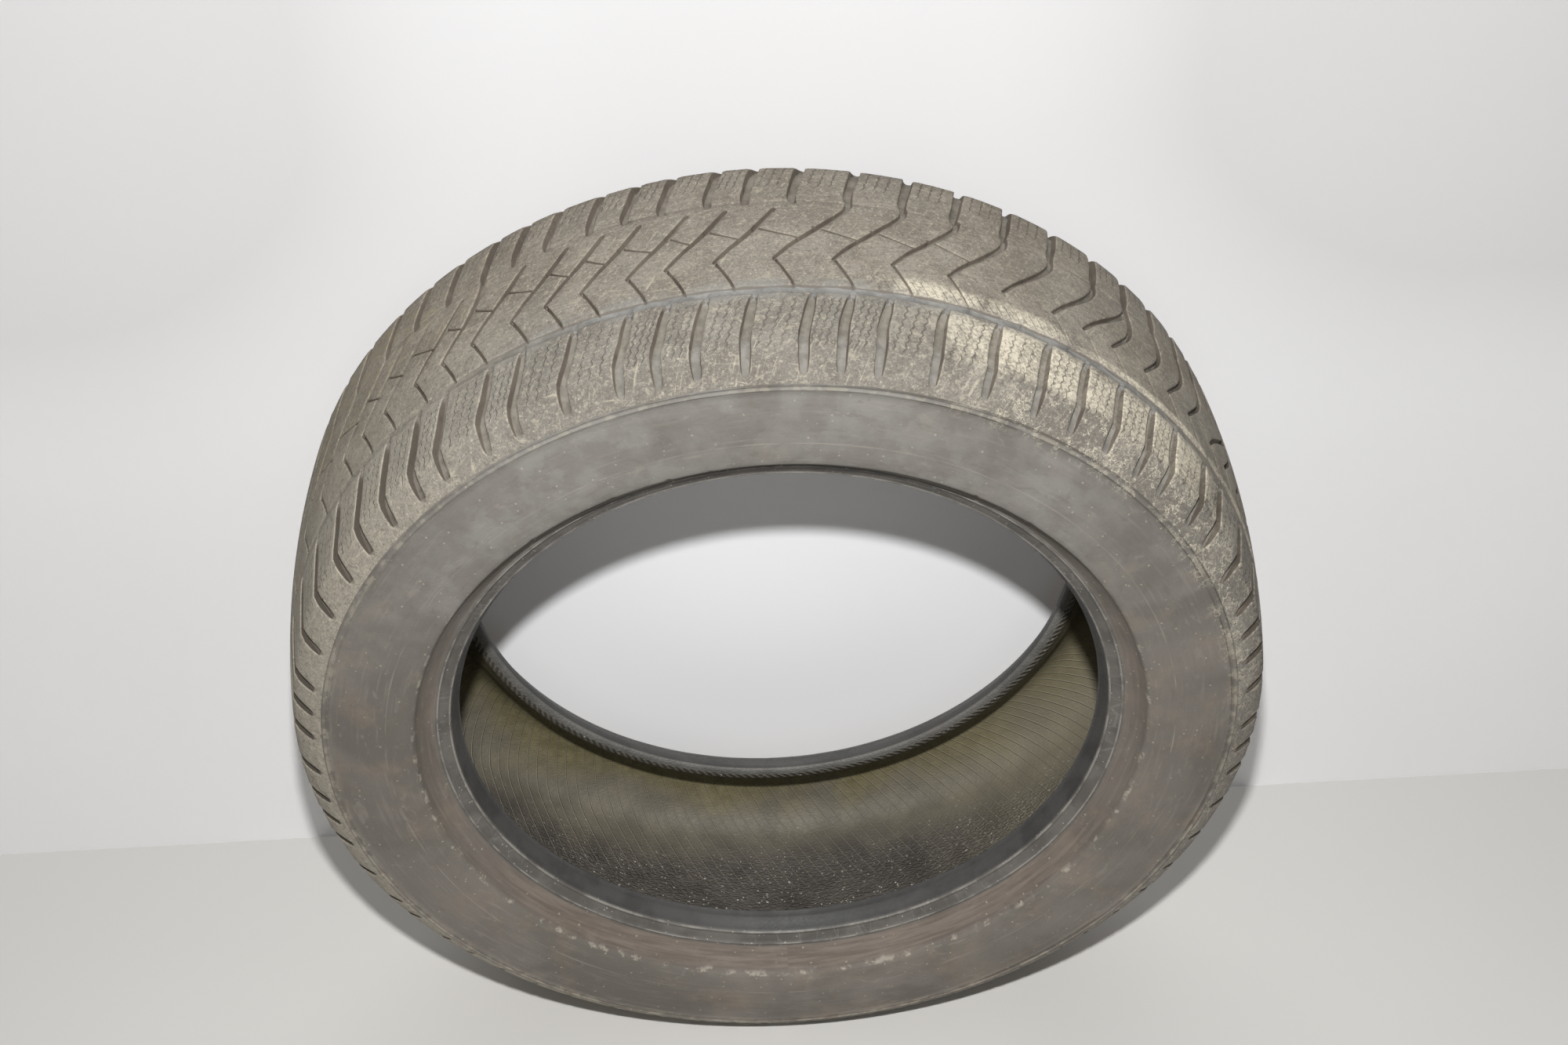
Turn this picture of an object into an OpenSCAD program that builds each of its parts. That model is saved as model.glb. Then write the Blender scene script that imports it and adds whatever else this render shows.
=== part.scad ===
// Old worn tyre, loose from its rim, standing upright.
// The origin is on the spin axis, midway between the two bead toes. The axis runs along Y.
// The side with the narrow ring groove faces -Y, and +Z is up.

/* [Size] */
// Diameter over the middle of the worn tread
outside_diameter = 620; // [560:1:680]
// Width over the two sidewalls
section_width = 210; // [185:1:235]
// Diameter of the hole, measured on the two bead toes
hole_diameter = 403; // [352:1:430]
// Distance between the two bead toes of the loose tyre
bead_spread = 130.2; // [110:0.2:160]
// How far both beads have crept from the middle of the tread towards the near side
bead_creep = 5.1; // [0:0.1:9]

/* [Casing] */
// Rubber and belts under the middle of the tread
crown_wall = 11.5; // [9:0.1:16]
// Thinnest part of the sidewall
side_wall = 7; // [5:0.1:10]
// Length of the flat at the tip of each bead
toe_land = 4.8; // [3:0.1:8]
// Width of the bead from its toe to its heel
bead_width = 13.5; // [10:0.1:18]
// Rise of the tapered seat from toe to heel
seat_rise = 3.8; // [1:0.1:6]
// Height of the rim guard's lip above the bead toe
guard_height = 27.2; // [22:0.1:32]
// How far the lip of the near rim guard stands in from the full width
guard_inset = 2.2; // [1:0.1:6]
// Height of the double ring below the top of the tread
ring_depth = 27.4; // [22:0.1:36]
// How far the double ring stands in from the full width
ring_inset = 6; // [3:0.1:10]
// How far each line of the double ring stands proud
ring_proud = 0.8; // [0.4:0.1:1.5]

/* [Tread] */
// How far the tread's edge stands in from the full width
shoulder_inset = 21; // [15:0.5:30]
// Fall of the tread from its middle to its edge
crown_drop = 6.2; // [3:0.1:10]
// Width of the near shoulder blocks, from tread edge to ring groove
near_shoulder_width = 40.6; // [30:0.2:50]
// Width of the far shoulder blocks, from tread edge to middle rib
far_shoulder_width = 40.4; // [30:0.2:50]
// Width of the ring groove
ring_groove_width = 6.4; // [3:0.1:10]
// Depth left in the ring groove
ring_groove_depth = 4.2; // [2:0.1:7]
// Width of the shoulder grooves at their widest
shoulder_groove_width = 6.4; // [4:0.1:9]
// Depth left in the shoulder grooves, over the edge of the tread
shoulder_groove_depth = 6; // [3:0.1:8]
// Width across the slanting grooves of the middle rib
slant_groove_width = 4.2; // [2.5:0.1:6]
// Depth left in the slanting grooves
slant_groove_depth = 4.8; // [2.5:0.1:7]
// Width of the plain rib between the ring groove and the bend of the slanting grooves
inner_rib_width = 24; // [16:0.5:32]

/* [Wear] */
// How far the standing tyre is pressed flat where it meets the ground
flat_depth = 2.5; // [1:0.1:5]
// Size of the chips broken out of the rim guard
chip_size = 7; // [3:0.5:12]

/* [Hidden] */
$fn = 180;

outer_r = outside_diameter / 2;
toe_r = hole_diameter / 2;
half_width = section_width / 2;
near_bead_u = bead_spread / 2 + bead_creep;
far_bead_u = bead_spread / 2 - bead_creep;
half_tread = half_width - shoulder_inset;
edge_r = outer_r - crown_drop;
ring_r = outer_r - ring_depth;
ring_u = half_width - ring_inset;
guard_r = toe_r + guard_height;
heel_r = toe_r + seat_rise;
wide_r = guard_r + 0.32 * (ring_r - guard_r);
liner_wide_r = wide_r + 0.2 * (ring_r - wide_r);
liner_edge_u = half_tread - 6;
liner_edge_r = outer_r - crown_wall - 7;
liner_side_u = half_width - side_wall - 0.6;

// Radius of the worn tread at a distance u from the middle
function crown_r(u) = outer_r - crown_drop * pow(u / half_tread, 2);

// Radius of the liner under the tread at a distance u from the middle
function liner_r(u) = outer_r - crown_wall - 7 * pow(u / liner_edge_u, 2);

// Distance of a rim guard's lip from the middle, which follows its bead
function lip_u(bead_u) = half_width - guard_inset - 0.7 * (near_bead_u - bead_u);

// Points along a curve from a to c that leaves towards b, without the first point
function curve(a, b, c, steps) = [
    for (i = [1:steps])
        let (t = i / steps)
        (1 - t) * (1 - t) * a + 2 * t * (1 - t) * b + t * t * c
];

// One half of the casing's outside, from the middle of the tread to the bead toe at bead_u
function outside_half(bead_u) = let (guard_u = lip_u(bead_u), heel_u = bead_u + bead_width) concat(
    [[outer_r, half_tread * 0.15]],
    [[crown_r(half_tread * 0.4), half_tread * 0.4]],
    [[crown_r(half_tread * 0.7), half_tread * 0.7]],
    [[crown_r(half_tread * 0.88), half_tread * 0.88]],
    [[edge_r, half_tread]],
    curve([edge_r, half_tread], [edge_r - 3.5, half_tread + 7], [ring_r + 3, ring_u - 0.6], 4),
    [[ring_r + 3, ring_u - 0.6 + ring_proud]],
    [[ring_r + 1.8, ring_u - 0.3 + ring_proud]],
    [[ring_r + 1.8, ring_u - 0.3]],
    [[ring_r, ring_u]],
    [[ring_r, ring_u + ring_proud]],
    [[ring_r - 1.2, ring_u + 0.2 + ring_proud]],
    [[ring_r - 1.2, ring_u + 0.2]],
    curve(
        [ring_r - 1.2, ring_u + 0.2],
        [wide_r + 0.42 * (ring_r - wide_r), half_width],
        [wide_r, half_width],
        5
    ),
    curve(
        [wide_r, half_width],
        [guard_r + 0.5 * (wide_r - guard_r), half_width],
        [guard_r + 0.18 * (wide_r - guard_r), guard_u + 1.2],
        3
    ),
    [[guard_r, guard_u]],
    [[guard_r - 1.8, guard_u - 4.4]],
    [[guard_r - 4.2, guard_u - 7.6]],
    curve([guard_r - 4.2, guard_u - 7.6], [guard_r - 9, heel_u + 5.6], [heel_r + 6, heel_u + 3.4], 4),
    [[heel_r + 2.2, heel_u + 1.6]],
    [[heel_r, heel_u - 1.2]],
    [[toe_r, bead_u + toe_land]],
    [[toe_r, bead_u]]
);

// One half of the liner, from the bead toe at bead_u back to the middle of the tread
function inside_half(bead_u) = concat(
    [[toe_r + 2, bead_u - 1]],
    [[toe_r + 9.5, bead_u - 0.4]],
    [[toe_r + 12.5, bead_u + 3.6]],
    [[toe_r + 19.5, bead_u + 11.4]],
    curve(
        [toe_r + 19.5, bead_u + 11.4],
        [guard_r + 0.45 * (wide_r - guard_r), liner_side_u - 0.6],
        [liner_wide_r, liner_side_u],
        5
    ),
    curve(
        [liner_wide_r, liner_side_u],
        [liner_edge_r - 12, liner_side_u],
        [liner_edge_r, liner_edge_u],
        5
    ),
    [[liner_r(liner_edge_u * 0.75), liner_edge_u * 0.75]],
    [[liner_r(liner_edge_u * 0.4), liner_edge_u * 0.4]]
);

// The same points on the other side of the middle, in the opposite order
function mirrored(points) = [
    for (i = [len(points) - 1:-1:0])
        [points[i][0], -points[i][1]]
];

// Outline of the casing, cut through one side
module casing_outline() {
    polygon(concat(
        outside_half(far_bead_u),
        inside_half(far_bead_u),
        mirrored(inside_half(near_bead_u)),
        mirrored(outside_half(near_bead_u))
    ));
}

// The narrow ring groove that parts the near shoulder from the middle
module ring_groove_outline() {
    near = -half_tread + near_shoulder_width;
    top = crown_r(near) + 5;
    floor_r = crown_r(near) - ring_groove_depth;
    polygon([
        [top, near - 0.8],
        [floor_r, near + 0.6],
        [floor_r, near + ring_groove_width - 1],
        [top, near + ring_groove_width]
    ]);
}

// Outline of a groove, from points that each hold [round the tyre, across it, width]
module groove_outline(path) {
    last = len(path) - 1;
    polygon(concat(
        [for (p = path) [p[0] - p[2] / 2, p[1]]],
        [for (i = [last:-1:0]) [path[i][0] + path[i][2] / 2, path[i][1]]]
    ));
}

// A groove with a flat floor, cut inwards at an angle round the tyre
module groove(angle, across, floor_r, tilt) {
    rotate([0, angle, 0])
        translate([0, across, floor_r])
            rotate([tilt, 0, 0])
                linear_extrude(height = 24)
                    children();
}

// Pitch of each block in a quarter turn: 0 short, 1 middle, 2 long
pitch_lengths = [4.2, 5.2, 6.3];
near_pitches = [1, 0, 2, 0, 2, 2, 0, 0, 1, 2, 0, 0, 2, 2, 2, 1, 1];
middle_pitches = [1, 0, 0, 1, 0, 0, 1, 0, 1, 2, 2, 2, 2, 2, 2, 0, 0];
far_pitches = [1, 1, 0, 0, 1, 0, 0, 1, 0, 1, 2, 2, 2, 2, 2, 2, 1];

// Length of the first few pitches of a row
function pitch_sum(row, count, i = 0) =
    i >= count ? 0 : pitch_lengths[row[i]] + pitch_sum(row, count, i + 1);

// Angle of every groove of a row, with the row made to fill each quarter turn
function groove_angles(row, start) = [
    for (quarter = [0:3])
        for (i = [0:len(row) - 1])
            start + 90 * quarter + 90 * pitch_sum(row, i) / pitch_sum(row, len(row))
];

near_inner = -half_tread + near_shoulder_width - 3;
bend_across = -half_tread + near_shoulder_width + ring_groove_width + inner_rib_width;
far_inner = half_tread - far_shoulder_width;
slant_length = far_inner - bend_across - 7;
slant_centre = 20;

// Shoulder grooves on the near side, running over the edge of the tread
module near_grooves() {
    length = half_tread + near_inner;
    w = shoulder_groove_width;
    tilt = 10;
    floor_r = crown_r(half_tread) - shoulder_groove_depth + length * sin(tilt);
    for (angle = groove_angles(near_pitches, -48.4))
        groove(angle, near_inner, floor_r, tilt)
            groove_outline([
                [-13, -length - 10, w * 0.7],
                [-6.8, -length - 3.5, w],
                [0, 19 - length, w],
                [5.4, -1.5, w * 0.85],
                [6.2, 0.5, w * 0.4]
            ]);
}

// Shoulder grooves on the far side, running over the edge of the tread
module far_grooves() {
    length = half_tread - far_inner;
    w = shoulder_groove_width;
    tilt = 10;
    floor_r = crown_r(half_tread) - shoulder_groove_depth + length * sin(tilt);
    for (angle = groove_angles(far_pitches, -43.8))
        groove(angle, far_inner, floor_r, -tilt)
            groove_outline([
                [-4.2, 0, w * 1.05],
                [-3.2, 6, w * 0.85],
                [0, 14, w * 0.85],
                [8, length - 2, w],
                [10.6, length + 9, w * 0.9]
            ]);
}

// Slanting grooves of the middle rib, each with a thin leg back to the ring groove
module middle_grooves() {
    leg = inner_rib_width + 1;
    w = slant_groove_width;
    for (angle = groove_angles(middle_pitches, -48.3))
        groove(angle + slant_centre / (outer_r * PI / 180), bend_across, outer_r - slant_groove_depth, 0)
            groove_outline([
                [10.4 - slant_centre, -leg, 1.9],
                [9.6 - slant_centre, 0.2 * leg - leg, 1.9],
                [6.6 - slant_centre, 0.5 * leg - leg, 2],
                [0.6 - slant_centre, 0, 3],
                [2.6 - slant_centre, 3, w],
                [9.6 - slant_centre, slant_length * 0.24, w],
                [18.4 - slant_centre, slant_length * 0.42, w * 1.1],
                [28.6 - slant_centre, slant_length * 0.7, w * 1.2],
                [38.6 - slant_centre, slant_length, w * 1.25]
            ]);
}

// Chips broken out of the near rim guard
module chips() {
    for (chip = [[140, 0.8], [163.6, 0.7], [176, 1.2], [193.5, 1]])
        rotate([0, chip[0], 0])
            translate([0, -lip_u(near_bead_u) - 0.6, guard_r - 0.4])
                rotate([90, 0, 25])
                    cylinder(h = chip_size, d = chip_size * chip[1], center = true, $fn = 24);
}

module tyre() {
    color([0.29, 0.27, 0.25])
        translate([0, bead_creep, 0])
            difference() {
                rotate([-90, 0, 0])
                    rotate_extrude()
                        difference() {
                            casing_outline();
                            ring_groove_outline();
                        }
                near_grooves();
                far_grooves();
                middle_grooves();
                chips();
                translate([-outer_r, -half_width, -outer_r - 50 + flat_depth])
                    cube([outer_r * 2, section_width, 50]);
            }
}

tyre();
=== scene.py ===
import math

import bmesh
import bpy
import numpy as np
from mathutils import Matrix, Vector
from mathutils.geometry import delaunay_2d_cdt


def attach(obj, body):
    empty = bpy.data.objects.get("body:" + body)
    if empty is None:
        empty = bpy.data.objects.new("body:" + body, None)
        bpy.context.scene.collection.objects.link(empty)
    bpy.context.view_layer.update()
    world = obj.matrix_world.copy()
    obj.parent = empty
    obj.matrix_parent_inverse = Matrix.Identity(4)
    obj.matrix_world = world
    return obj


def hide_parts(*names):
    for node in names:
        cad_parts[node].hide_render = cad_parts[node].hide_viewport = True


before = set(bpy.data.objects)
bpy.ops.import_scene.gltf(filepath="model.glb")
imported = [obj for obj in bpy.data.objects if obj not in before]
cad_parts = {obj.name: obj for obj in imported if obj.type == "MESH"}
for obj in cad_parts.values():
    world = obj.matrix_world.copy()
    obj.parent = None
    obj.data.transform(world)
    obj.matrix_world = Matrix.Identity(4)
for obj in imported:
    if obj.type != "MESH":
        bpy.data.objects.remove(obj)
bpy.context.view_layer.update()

# ---------------- sizes in millimetres, as in the CAD part
# x runs round the flat layout of the tread, from the bottom; q runs across it along the surface and y along
# the axis; u is a distance from the tread's middle.
OUTER_R = 310.0
TOE_R = 201.5                  # the bead hole
HALF_WIDTH = 105.0
BEAD_CREEP = 5.1               # the beads' middle lies this far to the near side of the tread's middle
NEAR_BEAD_U = 65.1 + BEAD_CREEP
FAR_BEAD_U = 65.1 - BEAD_CREEP
BEAD_WIDTH = 13.5
HALF_TREAD = 84.0
CROWN_DROP = 6.2               # the crown's fall from its middle to the tread's edge
CROWN_WALL = 11.5              # rubber under the crown, tread and all
LINER_DROP = 7.0               # the same fall of the liner
RING_R = OUTER_R - 27.4        # the double ring on the sidewall
RING_U = HALF_WIDTH - 6.0
GUARD_R = TOE_R + 27.2         # the rim guard's lip
GUARD_INSET = 2.2
HEEL_R = TOE_R + 3.8
WIDE_R = GUARD_R + 0.32 * (RING_R - GUARD_R)     # where the casing is widest
LINER_WIDE_R = WIDE_R + 0.2 * (RING_R - WIDE_R)
LINER_EDGE_U = HALF_TREAD - 6.0
LINER_EDGE_R = OUTER_R - CROWN_WALL - LINER_DROP
LINER_SIDE_U = HALF_WIDTH - 7.6
FLAT_Z = -(OUTER_R - 2.5)      # the tread is pressed flat where the tyre stands
RING_GROOVE_Y = -HALF_TREAD + 40.6
RING_GROOVE_W = 6.4
BEND_Y = RING_GROOVE_Y + RING_GROOVE_W + 24.0    # the chevrons' points
FAR_Y = HALF_TREAD - 40.4      # the far shoulder's edge
ROUND = 288                    # points round the casing, twice that at the rim guard
FLAT_R = 306.0                 # radius on which the tread is laid out flat
LENGTH = 2.0 * math.pi * FLAT_R
SLOPE_REACH = 0.8              # a normal comes from the points this far to both sides
MM = 0.001                     # millimetres to the scene's metres
LINER_R = 297.0                # for the pattern on the liner
VENTS = 214.0                  # vent ridges round the liner
VENT_LEAN = 0.6
BEAD_RIBS = 240.0              # ribs round the inside of a bead


def curve(a, b, c, steps):
    """Points from a to c, leaving towards b, without the first."""
    out = []
    for i in range(1, steps + 1):
        t = i / steps
        out.append(tuple((1 - t) ** 2 * a[k] + 2 * t * (1 - t) * b[k] + t * t * c[k] for k in (0, 1)))
    return out


def crown_r(u):
    """Radius of the tread's surface at a distance u from its middle."""
    return OUTER_R - CROWN_DROP * (u / HALF_TREAD) ** 2


def liner_r(u):
    """Radius of the liner under the tread."""
    return OUTER_R - CROWN_WALL - LINER_DROP * (u / LINER_EDGE_U) ** 2


# ---------------- section of the tread, as (radius, distance from the middle)
tread_half = [(crown_r(u), u) for u in np.linspace(0.0, HALF_TREAD - 3.0, 40)]
tread_half += curve(tread_half[-1], (crown_r(HALF_TREAD) - 0.4, HALF_TREAD + 0.5),
                    (RING_R + 9.5, RING_U - 4.2), 14)
tread_half += curve(tread_half[-1], (RING_R + 5.5, RING_U - 1.6), (RING_R + 3.4, RING_U - 0.7), 4)
TREAD_R, TREAD_U = np.array(tread_half).T
TREAD_Q = np.concatenate([[0.0], np.cumsum(np.hypot(np.diff(TREAD_R), np.diff(TREAD_U)))])
EDGE_Q = TREAD_Q[-1]


def to_q(y):
    """Distance along the outside of the tread for a distance y across it."""
    return math.copysign(float(np.interp(abs(y), TREAD_U, TREAD_Q)), y)


def surface(q):
    """Radius, place across and outward normal at distances q along the tread."""
    a = np.abs(q)
    r, u = np.interp(a, TREAD_Q, TREAD_R), np.interp(a, TREAD_Q, TREAD_U)
    after, before = a + SLOPE_REACH, np.abs(a - SLOPE_REACH)
    dr = np.interp(after, TREAD_Q, TREAD_R) - np.interp(before, TREAD_Q, TREAD_R)
    du = np.interp(after, TREAD_Q, TREAD_U) - np.sign(a - SLOPE_REACH) * np.interp(before, TREAD_Q, TREAD_U)
    length = np.hypot(dr, du)
    sign = np.where(q < 0, -1.0, 1.0)
    return r, u * sign, du / length, -dr / length * sign


# ---------------- tread pattern
PITCH = (4.2, 5.2, 6.3)        # small, middle and large; each row of them fills a quarter turn
NEAR_ROW = (1, 0, 2, 0, 2, 2, 0, 0, 1, 2, 0, 0, 2, 2, 2, 1, 1)
MIDDLE_ROW = (1, 0, 0, 1, 0, 0, 1, 0, 1, 2, 2, 2, 2, 2, 2, 0, 0)
FAR_ROW = (1, 1, 0, 0, 1, 0, 0, 1, 0, 1, 2, 2, 2, 2, 2, 2, 1)
SLANT_REACH = 37.8             # way round that a slanting groove takes to the far shoulder
rng = np.random.default_rng(7)


def row_places(row, start):
    """Place round the tread of each groove in a row, as a length on the flat layout."""
    lengths = np.array([PITCH[k] for k in row])
    lengths = lengths * 90.0 / lengths.sum()
    first = np.concatenate([[0.0], np.cumsum(lengths)[:-1]])
    angles = np.concatenate([start + 90.0 * quarter + first for quarter in range(4)])
    return np.sort(np.radians(angles + 180.0) % (2 * math.pi)) * FLAT_R


near_places = row_places(NEAR_ROW, -48.4)
middle_places = row_places(MIDDLE_ROW, -48.3)
far_places = row_places(FAR_ROW, -43.8)


class Groove:
    """A cut in the tread, made from (x, y, width, depth) points along its middle.

    wall is the width of the sloping wall inside its edge, round_edge that of the rounding outside it.
    """

    def __init__(self, points, wall=0.9, round_edge=1.1):
        self.points = np.array([(x, to_q(y), w / 2.0, d) for x, y, w, d in points])
        self.wall = wall
        self.round_edge = round_edge

    def shifted(self, dx):
        other = Groove.__new__(Groove)
        other.points = self.points + np.array([dx, 0.0, 0.0, 0.0])
        other.wall, other.round_edge = self.wall, self.round_edge
        return other

    def depth(self, x, q):
        """Depth cut at the points x, q, and 1 on the floor of a wide groove down to 0 on its walls."""
        best = np.full(x.shape, -1e9)
        deep = np.zeros(x.shape)
        for a, b in zip(self.points[:-1], self.points[1:]):
            ab = b[:2] - a[:2]
            t = np.clip(((x - a[0]) * ab[0] + (q - a[1]) * ab[1]) / (ab @ ab), 0.0, 1.0)
            away = np.hypot(x - a[0] - t * ab[0], q - a[1] - t * ab[1])
            inside = a[2] + t * (b[2] - a[2]) - away
            better = inside > best
            best = np.where(better, inside, best)
            deep = np.where(better, a[3] + t * (b[3] - a[3]), deep)
        lip = np.minimum(0.22, 0.2 * deep) * np.clip(1.0 + best / self.round_edge, 0.0, 1.0) ** 2
        wall = np.clip(best / self.wall, 0.0, 1.0)
        wide = np.clip((self.points[:, 2].max() - 1.0) / 0.8, 0.0, 1.0)
        return lip + (deep - lip) * wall, wall * wide

    def outline(self, offset):
        """Closed line at an offset from the groove's edge, or None where the groove is narrower."""
        line, half = self.points[:, :2], self.points[:, 2] + offset
        if half.max() < 0.35:
            return None
        half = np.maximum(half, 0.12)
        along = np.gradient(line, axis=0)
        along /= np.hypot(along[:, 0], along[:, 1])[:, None]
        side = np.stack([-along[:, 1], along[:, 0]], 1)
        left = line + side * half[:, None]
        right = line - side * half[:, None]
        start = line[0] - along[0] * half[0]
        end = line[-1] + along[-1] * half[-1]
        cap = 0.72             # how blunt the ends are
        loop = list(left) + [end * cap + left[-1] * (1 - cap) + along[-1] * half[-1] * 0.05, end]
        loop += [end * cap + right[-1] * (1 - cap)] + list(right[::-1])
        loop += [start * cap + right[0] * (1 - cap), start, start * cap + left[0] * (1 - cap)]
        return loop


def smooth(points, per_part):
    """More points along a line of (x, y, width, depth) points."""
    given = np.array(points, float)
    ext = np.vstack([2 * given[0] - given[1], given, 2 * given[-1] - given[-2]])
    out = []
    for i in range(1, len(ext) - 2):
        for k in range(per_part):
            t = k / per_part
            a, b, c, d = ext[i - 1], ext[i], ext[i + 1], ext[i + 2]
            out.append(0.5 * (2 * b + (c - a) * t + (2 * a - 5 * b + 4 * c - d) * t * t
                              + (3 * b - a - 3 * c + d) * t ** 3))
    out = np.array(out + [given[-1]])
    out[:, 2] = np.maximum(out[:, 2], 0.8)
    return [tuple(v) for v in out]


def ramp(value, low, high):
    """0 at low, 1 at high, smooth between; low may be the larger."""
    t = np.clip((value - low) / (high - low), 0.0, 1.0)
    return t * t * (3.0 - 2.0 * t)


def degrees_at(x):
    """Angle from the top, -180 to 180, of a place along the flat layout."""
    return np.degrees(x / FLAT_R) - 180.0


def on_the_right(x):
    """1 where the photographed tread has its curved grooves, on the upper right."""
    return ramp(degrees_at(x), 12.0, 24.0) * ramp(degrees_at(x), 110.0, 95.0)


def near_grooves(x):
    """One cross groove of the near shoulder and its shallow way into the ring groove."""
    wob = rng.uniform(-0.4, 0.4, 5)
    deep = rng.uniform(0.85, 1.05)
    top = RING_GROOVE_Y - 3.0
    angle = degrees_at(x)
    lean = 5.0 * ramp(angle, 5.0, -25.0) * ramp(angle, -130.0, -115.0)
    return [
        Groove(smooth([
            (x - 2.6 - lean, -95.2, 5.2, 0.6),
            (x - 2.4 - lean, -92.0, 6.4, 3.0 * deep),
            (x - 2.2 - 0.8 * lean + wob[0], -86.0, 6.9, 5.2 * deep),
            (x - 1.4 - 0.5 * lean + wob[1], -76.0, 7.1, 5.8 * deep),
            (x + 0.2 - 0.1 * lean + wob[2], -65.0, 6.9, 5.6 * deep),
            (x + 2.4 + wob[3], -54.0, 6.5, 5.0 * deep),
            (x + 4.2, top - 0.6, 5.2, 3.6 * deep),
        ], 2)),
        Groove([(x + 4.6, top - 1.0, 4.0, 1.5), (x + 5.8, RING_GROOVE_Y + 1.5, 4.6, 1.2)]),
    ]


def middle_grooves(x, gap, far_end):
    """A chevron leg, the slanting groove from it to the far shoulder, and the thin cut to the next one."""
    angle = degrees_at(x)
    leg = 25.0
    rise = FAR_Y - BEND_Y - 7.0
    deep = rng.uniform(0.8, 1.05)
    worn = 0.35 + 0.65 * rng.random()
    right = on_the_right(x)
    left = ramp(angle, -34.0, -48.0) * ramp(angle, -115.0, -100.0)
    leg_deep = 1.0 - 0.85 * right
    slant_deep = deep * (1.0 - 0.84 * left)
    worn = max(worn, left)
    reach = x + SLANT_REACH
    joined = abs(far_end - reach) < 9.0 or right > 0.1
    bend = far_end - reach if joined else 0.0
    last = [(far_end + 0.4 - 2.6 * right, FAR_Y + 0.5, 4.6, 4.0 * slant_deep)] if joined else []
    grooves = [
        Groove(smooth([
            (x + 10.8, BEND_Y - leg, 2.0, 2.2 * leg_deep),
            (x + 9.4, BEND_Y - 0.8 * leg, 2.0, 2.6 * leg_deep),
            (x + 6.8, BEND_Y - 0.55 * leg, 2.0, 2.8 * leg_deep),
            (x + 3.4, BEND_Y - 0.25 * leg, 2.0, 2.8 * leg_deep),
            (x + 0.3, BEND_Y - 0.5, 2.4, 3.0 * leg_deep),
        ], 2), wall=0.7, round_edge=0.9),
        Groove(smooth([
            (x + 0.2, BEND_Y + 0.2, 2.4, 3.0),
            (x + 2.8, BEND_Y + 3.2, 2.9, 3.8 * slant_deep),
            (x + 9.8, BEND_Y + rise * 0.24, 3.2, 4.4 * slant_deep),
            (x + 18.8 + 0.1 * bend, BEND_Y + rise * 0.44, 3.6, 4.8 * slant_deep),
            (x + 28.4 + 0.45 * bend, BEND_Y + rise * 0.7, 4.2, 4.6 * slant_deep),
            (x + 36.4 + 0.9 * bend - 1.8 * right, BEND_Y + rise * 0.97,
             4.3 if joined else 3.4, 3.8 * slant_deep),
        ] + last, 2)),
    ]
    if right < 0.1:
        grooves.append(Groove([
            (x + 24.4, BEND_Y + rise * 0.6, 2.4, 2.4 * worn),
            (x + 24.4 + (gap - 8.0) * 0.55, BEND_Y + rise * 0.47, 1.9, 2.1 * worn),
            (x + 17.0 + gap, BEND_Y + rise * 0.37, 2.0, 2.1 * worn),
        ], wall=0.7, round_edge=0.9))
    return grooves


def far_groove(x):
    """One cross groove of the far shoulder."""
    wob = rng.uniform(-0.4, 0.4, 4)
    deep = rng.uniform(0.88, 1.06)
    right = on_the_right(x)
    return Groove(smooth([
        (x + 1.2 - 3.2 * right, FAR_Y - 1.2, 4.6, 3.6),
        (x + 1.0 - 1.4 * right + wob[0], FAR_Y + 6.0, 5.8, 5.0 * deep),
        (x + 2.6 + wob[1], FAR_Y + 15.0, 6.0, 5.8 * deep),
        (x + 5.2 + wob[2], FAR_Y + 27.0, 6.4, 6.4 * deep),
        (x + 8.0 + wob[3], FAR_Y + 38.6, 6.8, 6.0 * deep),
        (x + 10.8, FAR_Y + 46.6, 5.6, 2.8 * deep),
        (x + 13.2, FAR_Y + 50.6, 4.4, 0.5),
    ], 2))


def make_grooves():
    """Every groove but the two lines that run right round."""
    cuts = []
    for x in near_places:
        cuts += near_grooves(x)
    for i, x in enumerate(middle_places):
        gap = (middle_places[(i + 1) % len(middle_places)] - x) % LENGTH
        away = (far_places + 0.8 - (x + SLANT_REACH) + LENGTH / 2) % LENGTH - LENGTH / 2
        cuts += middle_grooves(x, gap, x + SLANT_REACH + away[np.argmin(np.abs(away))])
    for x in far_places:
        cuts.append(far_groove(x))
    return cuts


def ring_cuts(x, q):
    """Depth and share of floor of the two lines that run right round: ring groove and far shoulder."""
    angle = degrees_at(x)
    silted = ramp(angle, -24.0, -40.0) * ramp(angle, -110.0, -95.0)
    open_depth = 2.2 - 1.7 * silted
    floor = open_depth.copy()
    for place in near_places:
        away = np.abs((x - (place + 13.0) + LENGTH / 2) % LENGTH - LENGTH / 2)
        tie_bar = np.minimum(1.2, open_depth)
        floor = np.minimum(floor, tie_bar + (open_depth - tie_bar) * np.clip((away - 6.2) / 0.8, 0.0, 1.0))
    low, high = to_q(RING_GROOVE_Y), to_q(RING_GROOVE_Y + RING_GROOVE_W)
    notch = 0.7 * np.sin(x * 0.233) + 0.4 * np.sin(x * 0.61 + 1.0)
    inside = np.minimum(q - low, high + 0.4 * notch - q)
    lip = np.minimum(0.25, 0.12 * open_depth) * np.clip(1.0 + inside / 1.2, 0.0, 1.0) ** 2
    wall = np.clip(inside / 0.9, 0.0, 1.0)
    ring = lip + (floor - lip) * wall
    line = 0.75 - np.abs(q - to_q(FAR_Y - 0.4) - 0.35 * np.sin(x * 0.11))
    strength = 0.55 + 0.45 * np.sin(x * 0.031 + 2.0) * np.sin(x * 0.0127)
    return np.maximum(ring, 0.9 * strength * np.clip(line / 0.6, 0.0, 1.0)), wall


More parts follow.
